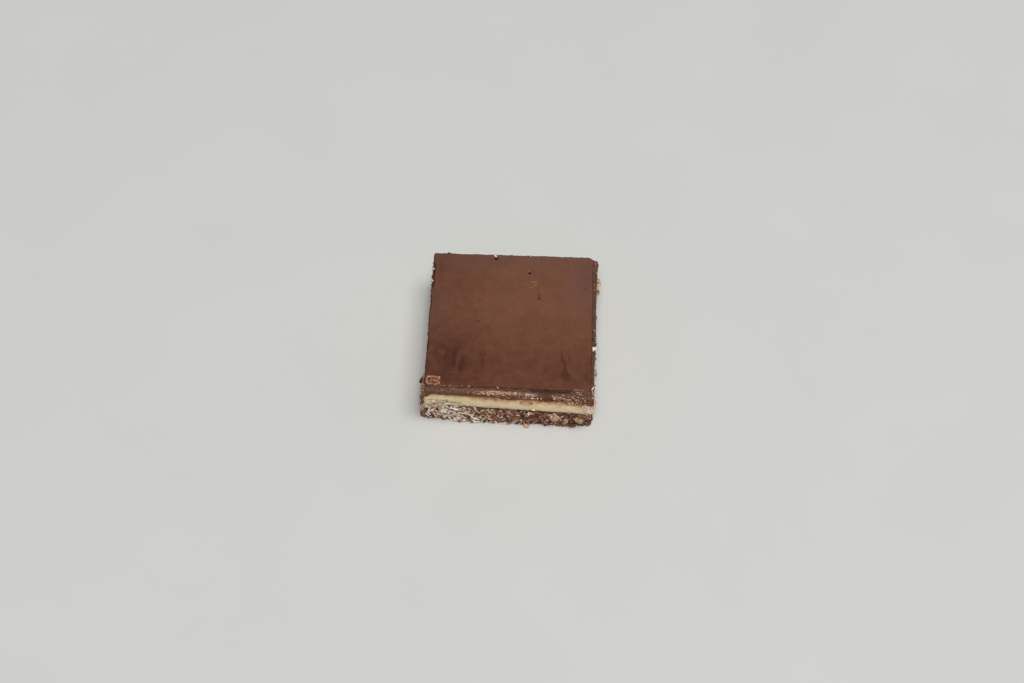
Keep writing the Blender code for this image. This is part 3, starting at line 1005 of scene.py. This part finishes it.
# Pale grains that the knife dragged over the cut sides: wall, side, along, height, how many, and
# sizes
GRAIN_FIELDS = (
    ("chocolate", "front", (-5, 5), (16.3, 17.5), 105, (0.24, 0.7)),
    ("chocolate", "front", (4, 9.4), (15.8, 16.9), 42, (0.24, 0.65)),
    ("chocolate", "front", (-9.5, -4), (15.9, 17.1), 34, (0.25, 0.65)),
    ("chocolate", "front", (-7, 9.5), (14.6, 16), 56, (0.18, 0.4)),
    ("chocolate", "front", (13.5, 19), (14.6, 16.8), 50, (0.22, 0.5)),
    ("chocolate", "front", (15.5, 24), (12.6, 15.8), 54, (0.2, 0.52)),
    ("chocolate", "front", (-22, -10), (16.4, 18), 14, (0.18, 0.35)),
    ("chocolate", "front", (7, 11), (13.4, 15.2), 14, (0.25, 0.65)),
    ("chocolate", "front", (19.5, 24.6), (15.8, 18.7), 26, (0.2, 0.45)),
    ("chocolate", "right", (-24.5, 24.5), (13, 17), 14, (0.2, 0.5)),
    ("chocolate", "right", (-25, -21.5), (13, 18), 26, (0.3, 0.7)),
    ("chocolate", "back", (-24.5, 24.5), (14, 18.2), 60, (0.2, 0.6)),
    ("chocolate", "left", (-24.5, 24.5), (14.8, 18.2), 45, (0.2, 0.6)),
)
COCONUT_GRAIN_FIELDS = (
    ("custard", "front", (23, 26), (8, 12.4), 14, (0.4, 0.9)),
    ("custard", "right", (-25, -22.8), (8, 12.4), 20, (0.4, 1.1)),
)


def add_grains(heap, walls, fields, ball, faces, rng):
    for layer, side, across, heights, count, sizes in fields:
        spots, normals = scatter_spots(walls[layer], side, across, heights, count, rng, 0.4)
        shape = rng.uniform(*sizes, (count, 1)) * rng.uniform(0.6, 1.3, (count, 3))
        axes = turned(normals, rng.uniform(0, math.tau, count), 0.4, rng)
        centres = spots + normals * (shape[:, :1] * rng.uniform(-0.15, 0.3, (count, 1)))
        local = lumps(shape, ball, 3, 0.4, rng)
        heap.add(placed(local, axes, centres), faces, rng.uniform(0.15, 1.1, count))


def make_grains(walls, tan, white):
    rng = np.random.default_rng(23)
    ball, faces = unit_ball(2)
    dragged, coconut = Heap(), Heap()
    add_grains(dragged, walls, GRAIN_FIELDS, ball, faces, rng)
    add_grains(coconut, walls, COCONUT_GRAIN_FIELDS, ball, faces, rng)
    add_single_lumps(coconut, SINGLE_GRAINS, *unit_ball(4), rng)
    dragged.finish("dragged_grains", tan, "crumb_base", 40)
    coconut.finish("coconut_grains", white, "crumb_base", 40)


# Nuts in the cut sides: wall, side, along, height, size along, up and out, and share of them
# inside the wall. The front ones, and the first on the right, stand where the photograph shows
# them. The rest are spread over the other sides.
NUTS = (
    ("base", "front", 15.2, 4.6, (3, 4.2, 1.8), 0.35),
    ("base", "front", 22.1, 4, (3.8, 4.8, 2.2), 0.2),
    ("base", "front", 17.9, 2.6, (1.3, 2.2, 1.2), 0.35),
    ("base", "front", 7.2, 6, (2, 1.3, 1.2), 0.4),
    ("base", "front", -6.4, 3, (1.5, 1.3, 1.1), 0.4),
    ("custard", "right", 20.3, 11.6, (4.2, 2.8, 2.6), 0.55),
    ("custard", "right", 17.4, 11.4, (3, 2.4, 1.8), 0.55),
    ("base", "right", 6, 3.6, (3.2, 2.4, 1.6), 0.4),
    ("base", "right", -9.5, 5.2, (2.3, 2.6, 1.5), 0.4),
    ("base", "right", -18, 2.7, (2.9, 2.1, 1.4), 0.4),
    ("base", "left", -7, 3.2, (3.1, 2.5, 1.6), 0.4),
    ("base", "left", 11.5, 5.6, (2.4, 2.2, 1.4), 0.4),
    ("base", "left", 20, 2.6, (2.7, 2, 1.4), 0.4),
    ("base", "left", -16.5, 6.1, (1.7, 1.8, 1.2), 0.4),
    ("base", "back", 16, 3.4, (3.3, 2.6, 1.6), 0.4),
    ("base", "back", 3.5, 5.9, (2.1, 2, 1.3), 0.4),
    ("base", "back", -8, 2.6, (2.8, 2.3, 1.5), 0.4),
    ("base", "back", -19, 5.2, (2.2, 2.9, 1.4), 0.4),
)


def make_nuts(walls, material):
    rng = np.random.default_rng(24)
    heap, (ball, faces) = Heap(), unit_ball(4)
    for layer, side, across, height, size, inside in NUTS:
        spots, normals = walls[layer].spots(side, np.array([across]), np.array([height]))
        local, axes = large_lump(normals, size, 0.5, 9 * across, ball, rng)
        centres = spots + normals * size[2] * (0.5 - inside)
        heap.add(placed(local, axes, centres), faces, rng.uniform(0.2, 1, 1))
    return heap.finish("nut_pieces", material, "crumb_base", 32)


# Thin toffee flakes: middle, the way its face points, size along, across and thick, spin, how round
# its outline is (0 is square), the tones of the middle and the rim, and where the rim starts, from
# the middle (0) to the outline (1). Tones run from brown (0) to bright (1), and from olive (1.4) to
# yellow (2).
FLAKES = (
    ((-22.4, -22.7, 19.1), (0.05, -0.05, 1), (4.1, 2.8, 0.36), 0.03, 0.42, (0.3, 1), 0.8),
    ((5.95, -25.58, 12.33), (0, -1, 0.2), (3.8, 1.45, 0.3), -0.04, 0.75, (2, 1.4), 0.55),
)
# Dents in the first flake, as parts of its half length and half breadth: middle, half length, half
# breadth, and slant
DENTS = (
    (0.03, -0.5, 0.28, 0.16, 0),
    (-0.1, -0.05, 0.1, 0.16, 0),
    (0.12, 0.5, 0.34, 0.13, -0.5),
    (0.95, 0.02, 0.12, 0.14, 0),
    (-0.62, 0.15, 0.1, 0.25, 0.6),
)


def dent_marks(x, y):
    """How deep the first flake is dented at these places of its face, from 0 to 1."""
    depth = np.zeros_like(x)
    for middle_x, middle_y, half_length, half_breadth, slant in DENTS:
        across = (y - middle_y - slant * (x - middle_x)) / half_breadth
        depth = np.maximum(depth, np.exp(-(((x - middle_x) / half_length) ** 2) - across**2))
    return depth


def flat_square(ball, roundness):
    """A ball's points pressed flat, with an outline between a circle's and a square's."""
    power = 2 / roundness
    edge = np.hypot(ball[:, 0], ball[:, 1])
    reach = (np.abs(ball[:, :2]) ** power).sum(axis=1) ** (1 / power)
    level = ball[:, :2] * (edge / np.maximum(reach, 1e-9))[:, None]
    up = np.sign(ball[:, 2:]) * np.abs(ball[:, 2:]) ** roundness
    return np.concatenate([level, up * 0.5], axis=1)


def flake_points(flat, ball, uneven):
    """A flat square's points with a ragged outline and a curled rim."""
    curl = 0.9 * smooth_step(np.hypot(ball[:, 0], ball[:, 1]), 0.82, 0.97)
    curl += 0.6 * rough_noise(ball * 4, 1.3, 35)
    points = flat.copy()
    points[:, :2] *= 1 + 0.22 * uneven[:, None] + 0.1 * smooth_noise(ball * 7, 1, 41)[:, None]
    points[:, 2] += curl * (ball[:, 2] > -0.3)
    return points


def flake_tones(ball, uneven, middle, rim, rim_start):
    """Tones that change from the middle's to the rim's, which is broken in places."""
    edge = np.hypot(ball[:, 0], ball[:, 1]) + 0.2 * uneven
    broken = 0.1 + 0.9 * smooth_step(smooth_noise(ball * 3.2, 1, 42), -0.3, 0.2)
    return middle + (rim - middle) * broken * smooth_step(edge, rim_start, rim_start + 0.15)


def make_flakes(material):
    rng = np.random.default_rng(25)
    heap, (ball, faces) = Heap(), unit_ball(4)
    for place, facing, size, spin, roundness, tones, rim_start in FLAKES:
        uneven = rough_noise(ball * 3 + rng.uniform(0, 30, 3), 1, 34)
        flat = flat_square(ball, roundness)
        local = flake_points(flat, ball, uneven) * (np.array(size) / 2)
        tone = flake_tones(ball, uneven, *tones, rim_start)
        if heap.count == 0:
            dent = dent_marks(flat[:, 0], flat[:, 1]) * (ball[:, 2] > 0)
            local[:, 2] -= 0.08 * dent
            tone -= 2.4 * dent
        axes = turned(np.array([facing]), np.array([spin]), 0, rng)
        heap.add(placed(local[None], axes, np.array([place])), faces, tone)
    return heap.finish("toffee_flakes", material, "chocolate", 50)


# ---- Materials ----


def linear(colour):
    """A colour given as it looks on screen, from 0 to 255, in the linear values of a shader."""
    return tuple(((c / 255 + 0.055) / 1.055) ** 2.4 if c > 10 else c / 255 / 12.92 for c in colour)


class Shading:
    """A Principled material with short ways to add the nodes that these materials use."""

    def __init__(self, name):
        self.material = bpy.data.materials.new(name)
        self.material.use_nodes = True
        self.tree = self.material.node_tree
        self.shader = self.tree.nodes["Principled BSDF"]
        self.place = self.add("ShaderNodeTexCoord").outputs["Object"]

    def add(self, kind, values=None, **settings):
        made = self.tree.nodes.new(kind)
        for name, value in settings.items():
            setattr(made, name, value)
        for key, value in (values or {}).items():
            self.put(made.inputs[key], value)
        return made

    def put(self, socket, value):
        if isinstance(value, bpy.types.NodeSocket):
            self.tree.links.new(value, socket)
        else:
            socket.default_value = value

    def set(self, name, value):
        self.put(self.shader.inputs[name], value)

    def noise(self, size, detail=3, stretch=None, rough=0.5):
        """Noise from 0 to 1 with bumps of this size in mm. Stretch makes them longer by axis."""
        place = self.place
        if stretch:
            scale = tuple(1 / s for s in stretch)
            place = self.add("ShaderNodeMapping", {"Vector": place, "Scale": scale}).outputs[0]
        values = {"Vector": place, "Scale": 1 / (size * MM), "Detail": detail, "Roughness": rough}
        return self.add("ShaderNodeTexNoise", values).outputs["Fac"]

    def mark(self, name):
        return self.add("ShaderNodeAttribute", attribute_name=name).outputs["Fac"]

    def step(self, value, start, end, low=0, high=1):
        """Low below start, high above end, and smooth between them."""
        values = {"Value": value, "From Min": start, "From Max": end, "To Min": low, "To Max": high}
        return self.add("ShaderNodeMapRange", values, interpolation_type="SMOOTHSTEP").outputs["Result"]

    def maths(self, operation, first, second=0):
        return self.add("ShaderNodeMath", {0: first, 1: second}, operation=operation).outputs[0]

    def plus(self, first, second):
        return self.maths("ADD", first, second)

    def times(self, first, second):
        return self.maths("MULTIPLY", first, second)

    def ramp(self, value, *stops):
        made = self.add("ShaderNodeValToRGB", {"Fac": value})
        elements = made.color_ramp.elements
        while len(elements) < len(stops):
            elements.new(0.5)
        for element, (position, colour) in zip(elements, stops):
            element.position = position
            element.color = (*linear(colour), 1)
        return made.outputs["Color"]

    def coats(self, colour, *coats):
        """A colour under coats of others, (share from 0 to 1, colour). Colours are tuples from 0 to
        255, or sockets."""
        for share, coat in coats:
            # The node's inputs 0, 6 and 7 are the share and the two colours, and output 2 the mix
            made = self.add("ShaderNodeMix", data_type="RGBA")
            self.put(made.inputs[0], share)
            for socket, tint in ((made.inputs[6], colour), (made.inputs[7], coat)):
                self.put(socket, (*linear(tint), 1) if isinstance(tint, tuple) else tint)
            colour = made.outputs[2]
        return colour

    def bump(self, *layers):
        """Bumps from (height from 0 to 1, depth in mm) pairs, each on top of the one before."""
        normal = None
        for height, depth in layers:
            made = self.add("ShaderNodeBump", {"Height": height, "Strength": 1, "Distance": depth * MM})
            if normal:
                self.put(made.inputs["Normal"], normal)
            normal = made.outputs["Normal"]
        self.set("Normal", normal)

    def finish(self, colour, value, least, most, *bumps):
        """Sets the colour, a roughness that follows a value between two bounds, and the bumps."""
        self.set("Base Color", colour)
        self.set("Roughness", self.step(value, 0.3, 0.7, least, most))
        self.bump(*bumps)
        return self.material

    def glow(self, weight, radius, scale):
        """Lets light in under the surface. The scale is in mm."""
        self.set("Subsurface Weight", weight)
        self.set("Subsurface Radius", radius)
        self.set("Subsurface Scale", scale * MM)


def chocolate_top_colour(look, smear_and_painted_light, painted_pit_shade):
    """The top's brown, mottled, with painted shade towards the front left, greyish bloom and painted
    sheen, dark smears and light scrapes, painted shade and highlights along the front edge, and pits
    painted dark as shade.
    """
    return look.coats(
        (122, 79, 58),
        # painted shade, darker towards the front and left of the top
        (look.mark("painted_shade"), (90, 49, 32)),
        (look.step(look.noise(2.6, 4), 0.35, 0.7, 0, 0.18), (144, 98, 72)),
        (look.step(look.noise(7), 0.4, 0.7, 0, 0.16), (82, 50, 42)),
        (look.step(look.noise(0.5), 0.5, 0.72, 0, 0.3), (76, 42, 28)),
        # greyish bloom and painted sheen
        (look.times(look.mark("bloom_and_sheen"), 0.3), (94, 74, 80)),
        # dark smears, and painted shade along the front edge
        (look.step(smear_and_painted_light, 0, 1, 0, 0.56), (58, 19, 6)),
        # painted shade in the pits
        (painted_pit_shade, (42, 12, 5)),
        # light scrapes, and painted highlights along the front edge
        (look.step(smear_and_painted_light, 0, -1, 0, 0.6), (166, 118, 88)),
    )


def chocolate_side_colour(look, crumbly):
    """The cut side's brown, dragged and crumbly, with painted shade, custard below and pale dust
    higher up.
    """
    drag = look.noise(1, 4, (3, 3, 0.5), 0.6)
    wobble = look.plus(look.mark("up"), look.step(look.noise(2.2), 0.25, 0.75, -0.12, 0.12))
    return look.coats(
        look.ramp(drag, (0.3, (100, 67, 51)), (0.5, (124, 89, 70)), (0.7, (152, 115, 94))),
        (look.step(wobble, 0.66, 0.34, 0, 0.88), (120, 72, 40)),
        (look.step(crumbly, 0.5, 0.36, 0, 0.5), (62, 34, 24)),
        # painted shade of the cut sides
        (look.times(look.mark("painted_shade"), 0.7), (62, 30, 20)),
        (look.mark("drawn"), (230, 190, 142)),
        (look.times(look.mark("dust"), look.step(crumbly, 0.3, 0.6)), (212, 166, 134)),
    )


def chocolate_material():
    look = Shading("chocolate_satin")
    cut, smear_and_painted_light = look.mark("cut"), look.mark("smear_and_painted_light")
    crumbly = look.noise(0.8, 4, rough=0.65)
    painted_pit_shade = look.step(smear_and_painted_light, 1, 1.4)
    # The worn rim is painted dark as shade, and less so where painted highlights lie along the front
    # edge
    rim = look.times(look.step(cut, 0.02, 0.3), look.step(cut, 0.98, 0.7))
    rim = look.times(rim, look.step(smear_and_painted_light, 0, -0.7, 0.85, 0.15))
    top, side = chocolate_top_colour(look, smear_and_painted_light, painted_pit_shade), chocolate_side_colour(look, crumbly)
    look.set("Base Color", look.coats(top, (look.step(cut, 0.25, 0.8), side), (rim, (50, 22, 12))))
    rough = look.step(look.noise(6), 0.3, 0.7, 0.34, 0.46)
    for mark, more in ((smear_and_painted_light, 0.06), (rim, 0.25), (painted_pit_shade, 0.5), (cut, 0.3)):
        rough = look.plus(rough, look.times(mark, more))
    look.set("Roughness", rough)
    look.set("Specular IOR Level", 0.25)
    look.bump((look.noise(3.2, 2), 0.03), (look.noise(0.5), 0.008), (look.times(crumbly, cut), 0.14))
    return look.material


def custard_material():
    look = Shading("custard_firm")
    up, peach = look.mark("up"), look.mark("peach")
    high = look.plus(up, look.step(look.noise(2), 0.25, 0.75, -0.12, 0.16))
    tones = (0.12, (158, 140, 104)), (0.4, (218, 203, 160)), (0.8, (242, 232, 196))
    browns = (0.35, (100, 58, 42)), (0.65, (174, 124, 100))
    colour = look.coats(
        look.ramp(look.noise(3.4), (0.3, (242, 216, 171)), (0.7, (249, 228, 185))),
        (look.step(look.noise(0.5, 2), 0.56, 0.7, 0, 0.4), (252, 240, 206)),
        (look.step(look.noise(0.36, 2), 0.66, 0.74, 0, 0.5), (190, 158, 116)),
        (look.times(peach, look.step(high, 0.5, 0.95, 0, 0.75)), (222, 168, 116)),
        (look.times(peach, look.step(high, 0.86, 1.04, 0, 0.85)), (150, 102, 68)),
        (look.step(high, 0.8, 1.08, 0, 0.5), (168, 122, 86)),
        # painted shade along the custard's lower edge
        (look.step(up, 0.3, 0.04, 0, 0.5), (190, 166, 138)),
        (look.times(look.mark("coconut"), 0.9), look.ramp(look.mark("tone"), *tones)),
        (look.mark("crumbed"), look.ramp(look.noise(0.7, 4, rough=0.7), *browns)),
    )
    look.glow(0.18, (1, 0.7, 0.4), 1.2)
    bumps = (look.noise(0.9, 3, (1, 1, 4)), 0.05), (look.noise(0.3), 0.04)
    return look.finish(colour, look.noise(1.2), 0.45, 0.62, *bumps)


def base_material():
    look = Shading("crumb_matrix")
    grit = look.noise(0.45, 4, rough=0.7)
    blend = look.plus(look.times(look.mark("tone"), 0.75), look.times(grit, 0.25))
    stops = (0.15, (58, 34, 24)), (0.42, (104, 65, 48)), (0.65, (146, 98, 74)), (0.9, (184, 138, 108))
    return look.finish(look.ramp(blend, *stops), grit, 0.62, 0.9, (grit, 0.16), (look.noise(0.18), 0.05))


def crumb_material():
    look = Shading("cocoa_crumb")
    grit = look.noise(0.35, 4, rough=0.7)
    blend = look.plus(look.mark("tone"), look.step(grit, 0.2, 0.8, -0.12, 0.12))
    stops = (0.05, (62, 36, 25)), (0.35, (110, 66, 44)), (0.65, (160, 108, 79)), (0.95, (216, 170, 142))
    return look.finish(look.ramp(blend, *stops), grit, 0.55, 0.85, (grit, 0.1), (look.noise(0.15), 0.04))


def coconut_material():
    look = Shading("coconut")
    stain = look.noise(1.1)
    blend = look.plus(look.mark("tone"), look.step(stain, 0.25, 0.75, -0.2, 0.16))
    stops = (0, (126, 92, 70)), (0.3, (184, 156, 130)), (0.6, (226, 207, 185)), (0.9, (248, 239, 224))
    look.glow(0.12, (1, 0.85, 0.7), 0.6)
    return look.finish(look.ramp(blend, *stops), stain, 0.5, 0.68, (look.noise(0.3, 3, (1, 1, 3)), 0.04))


def grain_material():
    look = Shading("pale_grain")
    stain = look.noise(0.5)
    blend = look.plus(look.mark("tone"), look.step(stain, 0.25, 0.75, -0.2, 0.2))
    stops = (0, (140, 98, 76)), (0.5, (200, 156, 132)), (1, (238, 214, 196))
    return look.finish(look.ramp(blend, *stops), stain, 0.5, 0.7, (look.noise(0.2), 0.04))


def nut_material():
    look = Shading("nut_flesh")
    fibre = look.noise(0.7, 5, (1, 1, 2.2), 0.65)
    flesh = look.ramp(fibre, (0.32, (150, 108, 74)), (0.5, (204, 168, 130)), (0.66, (236, 212, 182)))
    colour = look.coats(flesh, (look.step(look.noise(1.4), 0.53, 0.62, 0, 0.85), (142, 88, 56)))
    return look.finish(colour, fibre, 0.45, 0.65, (fibre, 0.16), (look.noise(0.25), 0.06))


def toffee_material():
    look = Shading("toffee_flake")
    tone, streak = look.mark("tone"), look.noise(0.7, 4)
    vein = look.maths("ABSOLUTE", look.maths("SUBTRACT", look.noise(1.4, 2), 0.5))
    rim = look.coats((208, 156, 128), (look.step(streak, 0.35, 0.6), (168, 108, 78)))
    yellow = look.coats((150, 110, 60), (look.step(tone, 1.4, 2), (222, 172, 128)))
    colour = look.coats(
        look.ramp(streak, (0.36, (86, 42, 24)), (0.5, (132, 78, 52)), (0.66, (168, 116, 80))),
        (look.step(vein, 0, 0.035, 0.3, 0), (180, 122, 88)),
        (look.step(tone, 0, 1), rim),
        (look.step(tone, 0.1, -0.9), (76, 38, 14)),
        (look.step(tone, 1, 1.3), yellow),
    )
    return look.finish(colour, streak, 0.3, 0.5, (streak, 0.08))


def floor_material():
    look = Shading("pale_floor")
    look.set("Base Color", look.ramp(look.noise(40, 2), (0.3, (219, 220, 216)), (0.7, (221, 222, 218))))
    look.set("Roughness", 0.9)
    look.set("Specular IOR Level", 0.2)
    return look.material


# ---- Floor, light and camera ----

PHOTO_WIDTH = 1024
FOCAL_PIXELS = 1725  # the photograph's focal length in pixels
SENSOR_WIDTH = 36.0
CAMERA_PLACE = (11.98, -298.49, 458.90)  # mm from the middle of the square top
CAMERA_AIM = (0.38, 4.82, 0.0)
FLOOR_HALF = 3.0


def to_frame(point):
    return Vector((np.array(point) + SQUARE_MIDDLE) * MM)


def make_floor():
    mesh = bpy.data.meshes.new("floor")
    corners = [(x * FLOOR_HALF, y * FLOOR_HALF, 0) for x, y in ((-1, -1), (1, -1), (1, 1), (-1, 1))]
    mesh.from_pydata(corners, [], [(0, 1, 2, 3)])
    mesh.materials.append(floor_material())
    floor = bpy.data.objects.new("floor", mesh)
    bpy.context.scene.collection.objects.link(floor)


def make_camera():
    camera = bpy.data.objects.new("camera", bpy.data.cameras.new("camera"))
    bpy.context.scene.collection.objects.link(camera)
    camera.data.sensor_width = SENSOR_WIDTH
    camera.data.lens = FOCAL_PIXELS / PHOTO_WIDTH * SENSOR_WIDTH
    camera.data.clip_start, camera.data.clip_end = 0.01, 20
    place, aim = to_frame(CAMERA_PLACE), to_frame(CAMERA_AIM)
    camera.location = place
    camera.rotation_euler = (aim - place).to_track_quat("-Z", "Y").to_euler()
    bpy.context.scene.camera = camera


# Lights: name, degrees around from +X, degrees up, width in degrees as seen from the slice, power
# in watts and colour. The first stands high to the right, and the second in front.
LIGHT_DISTANCE = 3.0
LIGHTS = (
    ("right", -15.0, 73.0, 22.0, 33.0, (1.0, 0.99, 0.98)),
    ("front", -88.0, 66.0, 18.0, 37.0, (1.0, 0.99, 0.98)),
)
SKY = (0.97, 0.99, 1.0, 1.0)
SKY_STRENGTH = 0.165


def make_light(name, around, up, width, power, colour):
    """A square area light that faces the slice."""
    light = bpy.data.lights.new(name, "AREA")
    light.energy, light.color = power, colour
    light.size = 2 * LIGHT_DISTANCE * math.tan(math.radians(width / 2))
    level = math.cos(math.radians(up))
    across, along = math.cos(math.radians(around)), math.sin(math.radians(around))
    place = LIGHT_DISTANCE * Vector((level * across, level * along, math.sin(math.radians(up))))
    lamp = bpy.data.objects.new(name, light)
    lamp.location = place
    lamp.rotation_euler = (-place).to_track_quat("-Z", "Y").to_euler()
    bpy.context.scene.collection.objects.link(lamp)


def make_world():
    world = bpy.data.worlds.new("studio")
    world.use_nodes = True
    background = world.node_tree.nodes["Background"]
    background.inputs["Color"].default_value = SKY
    background.inputs["Strength"].default_value = SKY_STRENGTH
    bpy.context.scene.world = world
    bpy.context.scene.view_settings.view_transform = "Standard"


def make_studio():
    make_world()
    make_floor()
    for light in LIGHTS:
        make_light(*light)
    make_camera()


def make_slice():
    walls = {
        "base": make_base(base_material()),
        "custard": make_custard(custard_material()),
        "chocolate": make_chocolate(chocolate_material()),
    }
    coconut = coconut_material()
    make_coconut(walls, coconut)
    make_crumbs(walls, crumb_material())
    make_grains(walls, grain_material(), coconut)
    make_nuts(walls, nut_material())
    make_flakes(toffee_material())


make_studio()
make_slice()
